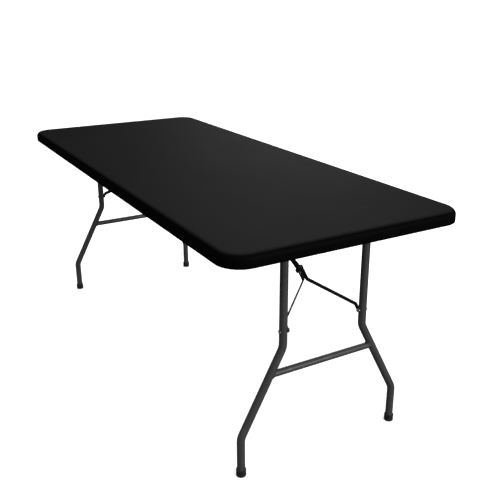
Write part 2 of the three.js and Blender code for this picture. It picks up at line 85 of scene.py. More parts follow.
class Nodes:
    """A node tree: each of its nodes is made, set and fed here."""

    def __init__(self, tree):
        self.tree = tree

    def node(self, kind, settings, *values, out=0, **named):
        """Values go to the sockets in order, or by name; None leaves a socket as it is."""
        node = self.tree.nodes.new(kind)
        for key, value in settings.items():
            setattr(node, key, value)
        for key, value in [*enumerate(values), *named.items()]:
            self.feed(node.inputs[key], value)
        return Value(self, node.outputs[out])

    def feed(self, socket, value):
        if isinstance(value, Value):
            self.tree.links.new(value.socket, socket)
        elif value is not None:
            socket.default_value = value


class Paint(Nodes):
    """One material. Plain numbers go straight onto the shader's own sockets."""

    def __init__(self, name, **plain):
        self.material = bpy.data.materials.new(name)
        self.material.use_nodes = True
        super().__init__(self.material.node_tree)
        self.shader = self.tree.nodes["Principled BSDF"]
        self.place = self.node("ShaderNodeTexCoord", {}, out="Object")
        self.wear(**plain)

    def wear(self, **sockets):
        for key, value in sockets.items():
            self.feed(self.shader.inputs[key.replace("_", " ")], value)

    def height(self):
        return self.node("ShaderNodeSeparateXYZ", {}, self.place, out="Z")

    def stretched(self, x, y, z):
        settings = {"operation": "MULTIPLY"}
        return self.node("ShaderNodeVectorMath", settings, self.place, (x, y, z))

    def noise(self, scale, detail=2.0, at=None):
        where = at or self.place
        return self.node("ShaderNodeTexNoise", {}, Vector=where, Scale=scale, Detail=detail)

    def cells(self, scale, feature="SMOOTH_F1"):
        settings = {"feature": feature}
        return self.node("ShaderNodeTexVoronoi", settings, Vector=self.place, Scale=scale)

    def blend(self, low, high, share):
        """From colour low to colour high."""
        settings = {"data_type": "RGBA"}
        other_kinds = [None] * 5
        return self.node("ShaderNodeMix", settings, share, *other_kinds, low, high, out=2)

    def bump(self, height, depth, under=None):
        return self.node("ShaderNodeBump", {}, Height=height, Distance=depth, Strength=1.0, Normal=under)


def grey(level, warmth=0.0):
    return (level * (1 + warmth), level, level * (1 - warmth), 1.0)


def scratches(paint, density, length, rarity):
    """Fine straight marks in two crossing directions."""
    marks = 0.0
    for x, y in ((density, length), (length, density)):
        line = paint.noise(1.0, 1.0, paint.stretched(x, y, density))
        marks = line.over(rarity, rarity + 0.03) + marks
    return marks


def moulded_top():
    """Leather-grained black plastic: the face is rougher, and painted lighter as painted light from above; the
    rounded edge and sides are painted darker as painted shade.
    """
    paint = Paint("moulded_top", Specular_IOR_Level=0.015)
    # The flat top face: it gets the painted top light below and a rougher finish.
    face = paint.height().over(TOP_HIGH.z - 5 * MM, TOP_HIGH.z - 0.3 * MM)
    cloud = paint.noise(3.5, 3.0)
    streak = paint.noise(1.0, 3.0, paint.stretched(2.2, 9.0, 9.0))
    scuff = scratches(paint, 90.0, 7.0, 0.735)
    rub = paint.noise(14.0, 4.0).over(0.52, 0.7)
    mottle = cloud * 0.6 + streak * 0.4
    # Painted light and shade: the flat top face gets a lighter colour and the rounded edge and sides a much
    # darker one, standing in for light from above.
    painted_shaded_sides = paint.blend(grey(0.001), grey(0.0018), mottle)
    painted_lit_top = paint.blend(grey(0.0078), grey(0.0118), mottle)
    shade = paint.blend(painted_shaded_sides, painted_lit_top, face)
    paint.wear(Base_Color=paint.blend(shade, grey(0.024), scuff * rub * 0.35))
    paint.wear(Roughness=0.5 + 0.1 * face + 0.1 * cloud + 0.06 * streak - 0.08 * scuff * rub)
    flow = paint.bump(paint.noise(5.0, 1.0), 0.0009)
    leather = paint.cells(420.0) * 0.7 + paint.noise(900.0, 2.0) * 0.3
    paint.wear(Normal=paint.bump(leather, 0.00012, flow))
    return paint.material


def moulded_underside():
    """The same plastic from the mould's other half, painted lighter than the top as painted light for the
    shaded underside: swirled, and dusty in patches.
    """
    paint = Paint("moulded_underside", Specular_IOR_Level=0.35)
    cloud = paint.noise(6.0, 4.0)
    swirl = paint.noise(1.0, 3.0, paint.stretched(3.0, 16.0, 4.0))
    dust = paint.noise(40.0, 5.0).over(0.5, 0.78)
    # Painted light: the base tone is lighter than the top's plastic, standing in for light that hardly reaches
    # the underside; the dust patches are real dirt.
    shade = paint.blend(grey(0.014), grey(0.024), cloud * 0.5 + swirl * 0.5)
    paint.wear(Base_Color=paint.blend(shade, grey(0.05, 0.03), dust * 0.4))
    paint.wear(Roughness=0.55 + 0.12 * cloud + 0.1 * dust)
    ripple = paint.bump(swirl, 0.0008)
    paint.wear(Normal=paint.bump(paint.noise(700.0, 2.0), 0.00008, ripple))
    return paint.material


def powder_coat(name, level, peel):
    """Baked powder on steel: a pebbled skin, a little brighter and smoother where it is rubbed."""
    paint = Paint(name, Coat_Roughness=0.25, Specular_IOR_Level=0.25)
    cloud = paint.noise(18.0, 4.0)
    rub = paint.noise(30.0, 5.0).over(0.56, 0.72)
    speck = paint.noise(520.0, 2.0).over(0.66, 0.72)
    shade = paint.blend(grey(level, -0.02), grey(level * 1.5, -0.02), cloud)
    shade = paint.blend(shade, grey(level * 2.4), speck * 0.5)
    paint.wear(Base_Color=paint.blend(shade, grey(level * 2.1), rub * 0.4))
    paint.wear(Roughness=0.42 + 0.1 * cloud - 0.1 * rub, Coat_Weight=0.12 + 0.1 * rub)
    pebble = paint.cells(peel) * 0.6 + paint.noise(peel * 1.7, 3.0) * 0.4
    paint.wear(Normal=paint.bump(pebble, 0.00022))
    return paint.material


def weld_metal():
    """The bead under the powder: rounder and a little glossier."""
    paint = Paint("weld_bead", Specular_IOR_Level=0.55)
    ripple = paint.noise(260.0, 3.0)
    paint.wear(Base_Color=paint.blend(grey(0.02), grey(0.042), ripple))
    paint.wear(Roughness=0.36 + 0.14 * ripple)
    paint.wear(Normal=paint.bump(ripple, 0.0004))
    return paint.material


def zinc_plate():
    """Bright zinc with its crystals, turning marks and a few yellowed stains."""
    paint = Paint("zinc_plate", Metallic=1.0)
    crystal = paint.cells(300.0, "F1")
    stain = paint.noise(160.0, 4.0).over(0.48, 0.72)
    turned = paint.noise(1.0, 2.0, paint.stretched(1500.0, 120.0, 1500.0))
    shade = paint.blend(grey(0.5, -0.02), grey(0.68, 0.01), crystal)
    paint.wear(Base_Color=paint.blend(shade, (0.34, 0.31, 0.24, 1.0), stain * 0.35))
    paint.wear(Roughness=0.26 + 0.14 * turned + 0.2 * stain)
    paint.wear(Normal=paint.bump(turned + crystal * 0.4, 0.00006))
    return paint.material


def foot_rubber():
    """Black rubber, scuffed grey towards the sole."""
    paint = Paint("foot_rubber", Specular_IOR_Level=0.3)
    sole = 1.0 - paint.height().over(1 * MM, 9 * MM)
    grit = paint.noise(340.0, 4.0)
    shade = paint.blend(grey(0.008), grey(0.014), grit)
    paint.wear(Base_Color=paint.blend(shade, grey(0.06, 0.05), sole * grit.over(0.42, 0.62) * 0.7))
    paint.wear(Roughness=0.62 + 0.22 * sole + 0.1 * grit)
    paint.wear(Normal=paint.bump(grit + paint.noise(1200.0) * 0.4, 0.00012))
    return paint.material


def plug_plastic():
    """Smooth black injection-moulded plastic."""
    paint = Paint("plug_plastic", Specular_IOR_Level=0.4)
    cloud = paint.noise(120.0, 3.0)
    paint.wear(Base_Color=paint.blend(grey(0.009), grey(0.017), cloud))
    paint.wear(Roughness=0.42 + 0.16 * cloud)
    paint.wear(Normal=paint.bump(paint.noise(1600.0), 0.00005))
    return paint.material


def studio_floor():
    """A pale sheet that glows enough to stay even to the horizon."""
    paint = Paint("studio_floor", Specular_IOR_Level=0.0, Emission_Strength=0.4)
    paint.wear(Emission_Color=grey(1.0))
    mottle = paint.noise(0.8, 3.0)
    paint.wear(Base_Color=paint.blend(grey(0.86), grey(0.9), mottle))
    paint.wear(Roughness=0.85 + 0.05 * mottle)
    return paint.material


FINISHES = {
    "top_moulding": moulded_top(),
    "underside_moulding": moulded_underside(),
    "frame_steel": powder_coat("frame_powder", 0.033, 900.0),
    "brace_steel": powder_coat("brace_powder", 0.010, 1100.0),
    "zinc_steel": zinc_plate(),
    "plug_plastic": plug_plastic(),
    "foot_rubber": foot_rubber(),
}
WELD = weld_metal()


# ---------------------------------------------------------------- shapes
# A shape is (points, faces). Loops run anticlockwise seen from where they are going.
RIM_EASE = 0.3 * MM
WELD_R = 2.1 * MM
WELD_SWELL = 0.1
WELD_STEPS = 96
BEAD_SIDES = 10


def loft(loops, closed=False):
    """Skins a stack of equal loops; an open stack gets a flat face at each end."""
    count = len(loops[0])
    points = [Vector(p) for loop in loops for p in loop]
    faces = []
    for i in range(len(loops) if closed else len(loops) - 1):
        here, above = i * count, ((i + 1) % len(loops)) * count
        for k in range(count):
            side = (k + 1) % count
            faces.append((here + k, here + side, above + side, above + k))
    if not closed:
        last = (len(loops) - 1) * count
        faces.append(tuple(reversed(range(count))))
        faces.append(tuple(range(last, last + count)))
    return points, faces


def together(shapes):
    points, faces = [], []
    for some_points, some_faces in shapes:
        start = len(points)
        points += some_points
        faces += [tuple(start + i for i in face) for face in some_faces]
    return points, faces


def moved(shape, matrix):
    return [matrix @ p for p in shape[0]], shape[1]


def in_mm(steps):
    return [(a * MM, b * MM) for a, b in steps]


def circle(radius, sides):
    angles = [math.tau * k / sides for k in range(sides)]
    return [(radius * math.cos(a), radius * math.sin(a)) for a in angles]


def round_box(width, height, corner, steps=4):
    """The outline of a rectangle with round corners, anticlockwise."""
    x, y = width / 2 - corner, height / 2 - corner
    points = []
    for quarter, (cx, cy) in enumerate(((x, y), (-x, y), (-x, -y), (x, -y))):
        for k in range(steps + 1):
            angle = (quarter + k / steps) * math.pi / 2
            points.append((cx + corner * math.cos(angle), cy + corner * math.sin(angle)))
    return points


def turned(outline, sides=40):
    """A solid of revolution about Z from [radius, height] steps, lowest first on its outside."""
    return loft([[(x, y, z) for x, y in circle(r, sides)] for r, z in outline])


def fillet(centre_r, centre_z, radius, start, end, steps=5):
    """[radius, height] steps round an arc of a turned outline, angles in degrees."""
    angles = [math.radians(start + (end - start) * k / steps) for k in range(steps + 1)]
    return [(centre_r + radius * math.cos(a), centre_z + radius * math.sin(a)) for a in angles]


def rounded_line(corners, radius, steps=10):
    """A bent line with each corner rounded."""
    corners = [Vector(c) for c in corners]
    points = [corners[0]]
    for before, corner, after in zip(corners, corners[1:], corners[2:]):
        back, ahead = (before - corner).normalized(), (after - corner).normalized()
        half = back.angle(ahead) / 2
        centre = corner + (back + ahead).normalized() * radius / math.sin(half)
        start = (corner + back * radius / math.tan(half) - centre).normalized()
        end = (corner + ahead * radius / math.tan(half) - centre).normalized()
        points += [centre + start.slerp(end, k / steps) * radius for k in range(steps + 1)]
    return [*points, corners[-1]]


def runs(path):
    """The direction of travel at each point of a path."""
    steps = [(b - a).normalized() for a, b in zip(path, path[1:])]
    return [(a + b).normalized() for a, b in zip([steps[0], *steps], [*steps, steps[-1]])]


def sweep(path, section, side):
    """Loops of a section carried along a path in the plane square to side; u is along side."""
    side = Vector(side)
    loops = []
    for point, run in zip(path, runs(path)):
        across = run.cross(side)
        loops.append([point + side * u + across * v for u, v in section])
    return loops


def pipe(start, end, outer, inner, side):
    """A straight open tube with a wall, each rim slightly eased."""
    eased_back = (end - start).normalized() * RIM_EASE
    body = [start + eased_back, end - eased_back]
    mid_wall = [((a + c) / 2, (b + d) / 2) for (a, b), (c, d) in zip(outer, inner)]
    outside = sweep(body, outer, side)
    rims = sweep([start, end], mid_wall, side)
    inside = sweep(body, inner, side)
    return loft([*outside, rims[1], *reversed(inside), rims[0]], closed=True)


def bead(points, normals, ripples):
    """A closed run of weld: a round bead that swells and thins along a ring of points."""
    loops = []
    total = len(points)
    for i, (point, normal) in enumerate(zip(points, normals)):
        run = (points[(i + 1) % total] - points[i - 1]).normalized()
        across = run.cross(normal).normalized()
        radius = WELD_R * (1 + WELD_SWELL * math.sin(math.tau * ripples * i / total))
        loops.append([point + across * u + normal * v for u, v in circle(radius, BEAD_SIDES)])
    return loft(loops, closed=True)


def along_y(shape):
    """Stands a turned shape on its side, its Z to +Y."""
    return moved(shape, Matrix.Rotation(-math.pi / 2, 4, "X"))


def hexagon(radius, low, high, ease):
    """A six-sided head or nut about Z with its top and bottom corners eased."""
    eased_in = 0.9 * radius
    return turned([(eased_in, low), (radius, low + ease), (radius, high - ease), (eased_in, high)], 6)


# ---------------------------------------------------------------- making pieces
SHARP = 40.0


def make(name, shape, slot, body, stands_for=(), material=None, sharp=SHARP, matrix=None):
    """Makes a piece from a shape; an edge turns sharp past an angle in degrees."""
    if matrix is not None:
        shape = moved(shape, matrix)
    mesh = bpy.data.meshes.new(name)
    mesh.from_pydata([tuple(p) for p in shape[0]], [], shape[1])
    mesh.validate()
    mesh.shade_smooth()
    mesh.set_sharp_from_angle(angle=math.radians(sharp))
    mesh.materials.append(material or FINISHES[slot])
    piece = bpy.data.objects.new(name, mesh)
    bpy.context.scene.collection.objects.link(piece)
    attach(piece, body)
    if stands_for:
        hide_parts(*stands_for)
    return piece


def eased(piece, width):
    bevel = piece.modifiers.new("eased_edges", "BEVEL")
    bevel.width = width
    bevel.segments = 2
    bevel.limit_method = "ANGLE"
    bevel.angle_limit = math.radians(SHARP)
    bevel.harden_normals = True


def middle(node):
    low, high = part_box(node)
    return (low + high) / 2


def size(node):
    low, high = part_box(node)
    return high - low


def axis_of(joint_name):
    """A point on a joint's axis."""
    return next(Vector(joint["pos_m"]) for joint in frame["joints"] if joint["name"] == joint_name)


LEG_PIVOT = axis_of("leg_fold_right")
LINK_PIN = axis_of("link_swing_right")
KNUCKLE = axis_of("fork_swing_right")
UNDER_LOW, UNDER_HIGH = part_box("underside_panel")

# ---------------------------------------------------------------- top moulding
CORNER = 70 * MM
EDGE = 18 * MM
SKIN = 3 * MM
HEM = 2 * MM
CORNER_STEPS = 12
EDGE_STEPS = 15


def carried(half_x, half_y, corner, section):
    """Loops that carry [inset, height] steps round a rectangle with round corners."""
    loops = []
    for inset, z in section:
        outline = round_box(2 * (half_x - inset), 2 * (half_y - inset), corner - inset, CORNER_STEPS)
        loops.append([(x, y, z) for x, y in outline])
    return loops


def top_moulding():
    """A shell with its edge rolled over to the skirt, and a round hem at the skirt's foot."""
    top, low = TOP_HIGH.z, TOP_LOW.z
    quarter = [math.pi / 2 * k / EDGE_STEPS for k in range(EDGE_STEPS + 1)]
    outside = [(EDGE * (1 - math.cos(a)), top - EDGE + EDGE * math.sin(a)) for a in quarter]
    hollow = EDGE - SKIN
    inside = [(EDGE - hollow * math.cos(a), top - EDGE + hollow * math.sin(a)) for a in reversed(quarter)]
    hem = fillet(HEM, low + HEM, HEM, 270, 180)
    shape = loft(carried(TOP_HIGH.x, TOP_HIGH.y, CORNER, [*inside, (SKIN, low), *hem, *outside]))
    make("moulded_top", shape, "top_moulding", "top", ["top_panel"], sharp=50)


# ---------------------------------------------------------------- underside
LIP = 30 * MM
SLOPE = 5 * MM
FLANGE = 7 * MM
DIMPLE_MOUTH = 15 * MM
DIMPLE_FLOOR = 8 * MM
DIMPLE_DEPTH = 12 * MM
DIMPLE_PITCH = 62 * MM
DIMPLE_SIDES = 20
DIMPLE_WALL = 1.5 * MM
JUST_INSIDE = 0.97
DIMPLE_EASE = 2 * MM
UNDER_EASE = 2 * MM
UNDER_NIP = 0.4 * MM
UNDER_BACK = 0.5 * MM


def keep_clear():
    """What is fixed to the underside: no dimple opens under it."""
    zones = []
    for node in frame["nodes"]:
        if node.startswith(("side_rail", "hinge_bracket", "brace_bracket_r", "brace_bracket_l")):
            low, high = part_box(node)
            zones.append((low.x, low.y, high.x, high.y))
    return zones


def dimple_places(half_x, half_y):
    """Staggered rows, leaving out what would run into the rim or a fitting."""
    places = []
    across, along = int(half_y / DIMPLE_PITCH), int(half_x / DIMPLE_PITCH)
    zones = keep_clear()
    for row in range(-across, across + 1):
        for step in range(-along, along + 1):
            x, y = (step + 0.5 * (row % 2)) * DIMPLE_PITCH, row * DIMPLE_PITCH
            inside = abs(x) < half_x - DIMPLE_PITCH / 2 and abs(y) < half_y - DIMPLE_PITCH / 2
            room = DIMPLE_MOUTH + DIMPLE_EASE
            blocked = any(a - room < x < c + room and b - room < y < d + room for a, b, c, d in zones)
            if inside and not blocked:
                places.append((x, y))
    return places


def dimpled_sheet(outline, places, z, grow, upward):
    """A flat sheet inside an outline with a dimple rising at each place, and its outline's points."""
    mouths = [[(x + u, y + v) for u, v in circle(DIMPLE_MOUTH + grow, DIMPLE_SIDES)] for x, y in places]
    flat, edges = [], []
    for ring in [outline, *mouths]:
        start = len(flat)
        flat += ring
        edges += [(start + k, start + (k + 1) % len(ring)) for k in range(len(ring))]
    spots, _, cells, origins, _, _ = delaunay_2d_cdt([Vector(p) for p in flat], edges, [], 0, 1e-7)
    points = [Vector((p.x, p.y, z)) for p in spots]
    place_of = {old: new for new, olds in enumerate(origins) for old in olds}
    faces = []
    for cell in cells:
        cx = sum(spots[i].x for i in cell) / 3
        cy = sum(spots[i].y for i in cell) / 3
        if all(math.hypot(cx - x, cy - y) > JUST_INSIDE * (DIMPLE_MOUTH + grow) for x, y in places):
            faces.append(tuple(cell) if upward else tuple(reversed(cell)))
    for i, (x, y) in enumerate(places):
        start = len(outline) + i * DIMPLE_SIDES
        ring = [place_of[start + k] for k in range(DIMPLE_SIDES)]
        shoulder = (DIMPLE_FLOOR + DIMPLE_EASE, DIMPLE_DEPTH - DIMPLE_EASE)
        for radius, rise in (shoulder, (DIMPLE_FLOOR, DIMPLE_DEPTH)):
            base = len(points)
            points += [Vector((x + u, y + v, z + rise)) for u, v in circle(radius + grow, DIMPLE_SIDES)]
            for k in range(DIMPLE_SIDES):
                side = (k + 1) % DIMPLE_SIDES
                face = (ring[k], ring[side], base + side, base + k)
                faces.append(face if upward else face[::-1])
            ring = list(range(base, base + DIMPLE_SIDES))
        faces.append(tuple(ring) if upward else tuple(reversed(ring)))
    return points, faces, [place_of[k] for k in range(len(outline))]


def underside_moulding():
    """Two skins on a sloped rim, each closed by a dimpled sheet."""
    half_x, half_y = UNDER_HIGH.x, UNDER_HIGH.y
    corner = CORNER - (TOP_HIGH.x - UNDER_HIGH.x)
    low, flat = UNDER_LOW.z, UNDER_HIGH.z - SKIN
    lower = [(LIP + SLOPE + UNDER_EASE, flat), (LIP + SLOPE, flat - UNDER_NIP), (LIP, low + UNDER_EASE),
             (LIP - UNDER_EASE, low), (UNDER_NIP, low)]
    upper = [(0, low + UNDER_NIP), (0, low + FLANGE), (SKIN, low + FLANGE), (SKIN, low + SKIN),
             (LIP + UNDER_BACK, low + SKIN), (LIP + SLOPE + UNDER_EASE + UNDER_BACK, flat + SKIN)]
    places = dimple_places(half_x - LIP - SLOPE, half_y - LIP - SLOPE)
    rims = carried(half_x, half_y, corner, [*lower, *upper])
    points, faces = loft(rims)
    faces = faces[:-2]
    count = len(rims[0])
    first, last = range(count), range(len(points) - count, len(points))
    for seam, z, grow, upward in ((first, flat, 0.0, False), (last, flat + SKIN, DIMPLE_WALL, True)):
        outline = [(points[i].x, points[i].y) for i in seam]
        sheet_points, sheet_faces, rim = dimpled_sheet(outline, places, z, grow, upward)
        base = len(points)
        joined = dict(zip(rim, seam))
        points = points + sheet_points
        faces += [tuple(joined.get(i, base + i) for i in face) for face in sheet_faces]
    make("moulded_underside", (points, faces), "underside_moulding", "top", ["underside_panel"], sharp=35)


# ---------------------------------------------------------------- rails
RAIL_CORNER = 2 * MM
RAIL_WALL = 1.2 * MM
RIVET_R = 3.6 * MM
RIVET_RIM = 0.3 * MM
RIVET_SQUAT = 0.4
RIVETS = 9
PLUG_CORNER = 1.8 * MM


def rails():
    """Two box-section rails, each with a row of low domed rivets underneath."""
    rim = [(RIVET_R, 0), (RIVET_R, RIVET_RIM)]
    head = turned([*rim, *fillet(0, RIVET_RIM, RIVET_R, 0, 80)[1:]], 20)
    hanging = Matrix.Rotation(math.pi, 4, "X") @ Matrix.Diagonal((1, 1, RIVET_SQUAT, 1))
    for side in ("front", "back"):
        node = f"side_rail_{side}"
        low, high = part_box(node)
        centre, across = middle(node), high - low
        outer = round_box(across.y, across.z, RAIL_CORNER)
        inner = round_box(across.y - 2 * RAIL_WALL, across.z - 2 * RAIL_WALL, RAIL_CORNER - RAIL_WALL)
        start, end = [Vector((x, centre.y, centre.z)) for x in (low.x, high.x)]
        make(f"rail_{side}", pipe(start, end, outer, inner, (0, 1, 0)), "frame_steel", "top", [node])
        places = [low.x + across.x * (k + 0.5) / RIVETS for k in range(RIVETS)]
        domes = [moved(head, Matrix.Translation((x, centre.y, low.z)) @ hanging) for x in places]
        make(f"rail_rivets_{side}", together(domes), "zinc_steel", "top")


def rail_caps():
    """Push-in end plugs: a stem inside the rail under a domed cap."""
    profile = in_mm([(1.7, -14.5), (1.7, -2.7), (0, -2.7), (0, -1.4), (0.5, -0.4), (1.6, 0)])
    for node in [n for n in frame["nodes"] if n.startswith("rail_cap")]:
        low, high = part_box(node)
        across = high - low
        centre = middle(node)
        outward = 1 if low.x > 0 else -1
        face = high.x if outward > 0 else low.x
        loops = []
        for inset, back in profile:
            outline = round_box(across.y - 2 * inset, across.z - 2 * inset, PLUG_CORNER)
            loops.append([(face + outward * back, centre.y + outward * u, centre.z + v) for u, v in outline])
        make(f"{node}_plug", loft(loops), "plug_plastic", "top", [node])


# ---------------------------------------------------------------- end frames
# Pieces of the right end; the left end is the same, turned half round.
TUBE_SIDES = 40
TUBE_WALL = 1.2 * MM
BEND = 48 * MM
RIM = 6 * MM
PLATE = 2.5 * MM
PIN_R = 2.5 * MM
KNEE_DROP = 292 * MM
ANKLE_Z = 125 * MM
CAP_ROOM = 0.15 * MM
BOLT_ROOM = 0.1 * MM
SADDLE_ROOM = 0.1 * MM
LEG_RIPPLES = 24
BAR_RIPPLES = 22

pivot_r = size("pivot_tube_right").z / 2
bar_r = size("crossbar_right").z / 2
leg_low, leg_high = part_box("leg_tube_right_back")
leg_r = (leg_high - leg_low).x / 2
leg_y = leg_low.y + leg_r
foot_y = leg_high.y - leg_r
bolt_centre = middle("brace_bolt_right_back")
bar_z = middle("crossbar_right").z
knee_z = LEG_PIVOT.z - KNEE_DROP
slant = math.atan2(foot_y - leg_y, knee_z - ANKLE_Z)
bar_y = leg_y + (knee_z - bar_z) * math.tan(slant)


def saddle(x):
    """Height of the pivot tube's underside at x."""
    return LEG_PIVOT.z - math.sqrt(max(pivot_r**2 - (x - LEG_PIVOT.x) ** 2, 0))


def leg_tube(side):
    """A leg bent at knee and ankle, its top cut to fit round the pivot tube."""
    x = LEG_PIVOT.x
    knee, ankle = (x, leg_y, knee_z), (x, foot_y, ANKLE_Z)
    corners = [(x, leg_y, LEG_PIVOT.z - pivot_r), knee, ankle, (x, foot_y, leg_low.z)]
    line = [Vector((p.x, side * p.y, p.z)) for p in rounded_line(corners, BEND)]
    loops = sweep(line, circle(leg_r, TUBE_SIDES), (1, 0, 0))
    loops[0] = [Vector((p.x, p.y, saddle(p.x) - SADDLE_ROOM)) for p in loops[0]]
    return loft(loops)


def leg_weld(side):
    """The bead round a leg where it meets the pivot tube."""
    points, normals = [], []
    for u, v in circle(1, WELD_STEPS):
        x = LEG_PIVOT.x + u * (leg_r + 0.3 * MM)
        y = side * leg_y + v * (leg_r + 0.3 * MM)
        points.append(Vector((x, y, saddle(LEG_PIVOT.x + 0.97 * (x - LEG_PIVOT.x)) - 0.8 * MM)))
        normals.append(Vector((u, v, -0.5)).normalized())
    return bead(points, normals, LEG_RIPPLES)


def bar_reach(x, z):
    """How far out the crossbar's end meets the slanting leg, at x and z from its axis."""
    return bar_y - (math.sqrt(max(leg_r**2 - x * x, 0)) + z * math.sin(slant)) / math.cos(slant)


def crossbar():
    """A bar whose ends are cut to fit round the legs."""
    section = circle(bar_r, TUBE_SIDES)
    ends = []
    for side in (1, -1):
        ends.append([(LEG_PIVOT.x + u, side * bar_reach(u, v), bar_z + v) for u, v in section])
    return loft(ends)


def bar_weld(side):
    """The bead round an end of the crossbar."""
    points, normals = [], []
    for u, v in circle(1, WELD_STEPS):
        x, z = u * (bar_r + 0.2 * MM), v * (bar_r + 0.2 * MM)
        points.append(Vector((LEG_PIVOT.x + x, side * (bar_reach(x, z) - 0.6 * MM), bar_z + z)))
        normals.append(Vector((u, -side * 0.5, v)).normalized())
    return bead(points, normals, BAR_RIPPLES)


def pivot_tube():
    half = size("pivot_tube_right").y / 2
    start, end = [Vector((LEG_PIVOT.x, y, LEG_PIVOT.z)) for y in (-half, half)]
    inner = circle(pivot_r - TUBE_WALL, TUBE_SIDES)
    return pipe(start, end, circle(pivot_r, TUBE_SIDES), inner, (1, 0, 0))


def foot_cap(side):
    """A rubber cap with a dished sole, rounded foot edge and rolled lip."""
    across = size("foot_cap_right_back")
    outer, top = across.x / 2, across.z
    lip, sole = 1.2 * MM, 2.2 * MM
    dish = in_mm([(2, 1.2), (6, 1.2), (6.6, 0)])
    waist = outer - 0.5 * MM
    wall = [(waist, top - 6 * MM), (waist, top - 5.4 * MM), (outer, top - 5 * MM)]
    bore = leg_r + CAP_ROOM
    outline = [*dish, *fillet(outer - sole, sole, sole, 270, 360), *wall,
               *fillet(outer - lip, top - lip, lip, 0, 90), (bore, top), (bore, top - 2 * MM)]
    return moved(turned(outline, 48), Matrix.Translation((LEG_PIVOT.x, side * foot_y, 0)))


def facing(side):
    """A turn that points +Y out of the table on either side."""
    return Matrix.Rotation(0 if side > 0 else math.pi, 4, "Z")


def bolt_head(side):
    """A low domed head outside the leg, on a shank that ends against the strap."""
    seat = leg_r + BOLT_ROOM
    steps = in_mm([(6, 0), (6, 0.5), (5.5, 1.2), (4.5, 1.8), (3, 2.3), (1.2, 2.55), (0.3, 2.6)])
    dome = turned([(r, seat + z) for r, z in steps])
    shank = turned([(PIN_R, -leg_r), (PIN_R, seat)], 20)
    place = Matrix.Translation((LEG_PIVOT.x, side * leg_y, bolt_centre.z))
    return moved(along_y(together([dome, shank])), place @ facing(side))


# ---------------------------------------------------------------- brackets
EAR_STEPS = 48
FLARE = 6 * MM
WEB_CORNER = 5 * MM
PLATE_EASE = 0.5 * MM
FAR = 1e9


def ear_reach(angle, outer, rise):
    """Distance from an ear's hole to its outline, at an angle above +X."""
    x, y = math.cos(angle), math.sin(angle)
    if y <= 0:
        return outer
    slope = abs(x) - FLARE / rise * y
    return min(outer / slope if slope > 0 else FAR, rise / y)


def ear(hole, outer, rise):
    """A stamped ear in the XZ plane about its hole, flaring up to the web."""
    corner = math.atan2(rise, outer + FLARE)
    angles = sorted([math.tau * k / EAR_STEPS for k in range(EAR_STEPS)] + [corner, math.pi - corner])
    loops = []
    for y, on_edge in ((PLATE / 2, True), (-PLATE / 2, True), (-PLATE / 2, False), (PLATE / 2, False)):
        reach = [ear_reach(a, outer, rise) if on_edge else hole for a in angles]
        loops.append([(r * math.cos(a), y, r * math.sin(a)) for r, a in zip(reach, angles)])
    return loft(loops, closed=True)


def web(length, width, low):
    outline = round_box(length, width, WEB_CORNER, 6)
    return loft([[(x, y, z) for x, y in outline] for z in (low, low + PLATE)])


def bracket(node, centre, hole, ear_pitch, name, matrix):
    """A web under the top with two ears round a pin or tube at centre."""
    low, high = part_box(node)
    rise = high.z - PLATE - centre.z
    ears = []
    for side in (1, -1):
        place = Matrix.Translation((0, side * ear_pitch / 2, 0))
        ears.append(moved(ear(hole, hole + RIM, rise + 0.2 * MM), place))
    shape = together([web(high.x - low.x, high.y - low.y, rise), *ears])
    shape = moved(shape, Matrix.Translation(centre))
    eased(make(name, shape, "frame_steel", "top", [node], matrix=matrix), PLATE_EASE)


def screw(node, name):
    """A hexagon washer-head screw, seen from below."""
    low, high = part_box(node)
    centre = (low + high) / 2
    flange = (high - low).x / 2 / MM
    washer = turned(in_mm([(2, 2.3), (flange, 1.7), (flange, 2.3), (2, 2.4)]), 28)
    head = hexagon(3.9 * MM, 0, 2 * MM, 0.4 * MM)
    shank = turned(in_mm([(2.1, 2.3), (2.1, 12), (0.4, 14)]), 16)
    place = Matrix.Translation((centre.x, centre.y, low.z))
    make(name, moved(together([washer, head, shank]), place), "zinc_steel", "top", [node])


def pin(half, head):
    """A riveted pin along Y with two domed heads."""
    tip = half - 2 * MM
    dome = [(head, tip), (head, tip + 0.6 * MM), (0.8 * head, tip + 1.4 * MM), (0.45 * head, tip + 1.9 * MM),
            (0.1 * head, half)]
    lower = [(r, -z) for r, z in reversed(dome)]
    return along_y(turned([*lower, (PIN_R, -tip), (PIN_R, tip), *dome], 28))


# ---------------------------------------------------------------- brace
STRAP = 3 * MM
STRAP_HIGH = 15 * MM
STRAP_EASE = 0.6 * MM
STRAP_TAIL = 13 * MM
STRAP_END = 8 * MM
STRAP_PARALLEL = 24 * MM
STRAP_TAB = 22 * MM
STRAP_BEND = 7 * MM
STRAP_RIB = 0.9 * MM
STRAP_RIB_HALF = 3.4 * MM
RIB_FADE = 9 * MM
FADE_STEPS = 6
ROUND_STEPS = 12
LINK_R = 7.5 * MM
LINK_FLAT = 4.2 * MM
LINK_TALL = 10.2 * MM
LINK_PRESS = 26 * MM
LINK_TAPER = 20 * MM
LINK_END = 7.5 * MM
LINK_EASE = 0.3 * MM
LINK_SIDES = 48
TAPER_STEPS = 10
LINK_ROOM = 0.4 * MM
LEG_ROOM = 0.6 * MM
NUT_R = 5 * MM
WASHER_R = 7 * MM
STUD_TIP_R = 1.6 * MM
RING_SIDE = 7.6 * MM
RING_ROOM = 0.7 * MM
RING_CORNER = 4.3 * MM
RING_BACK = 15 * MM
BAND = 1.9 * MM
BAND_HALF = 4.5 * MM
BAND_EASE = 0.4 * MM
SEAM_R = 1.2 * MM
SEAM_SQUAT = 0.4

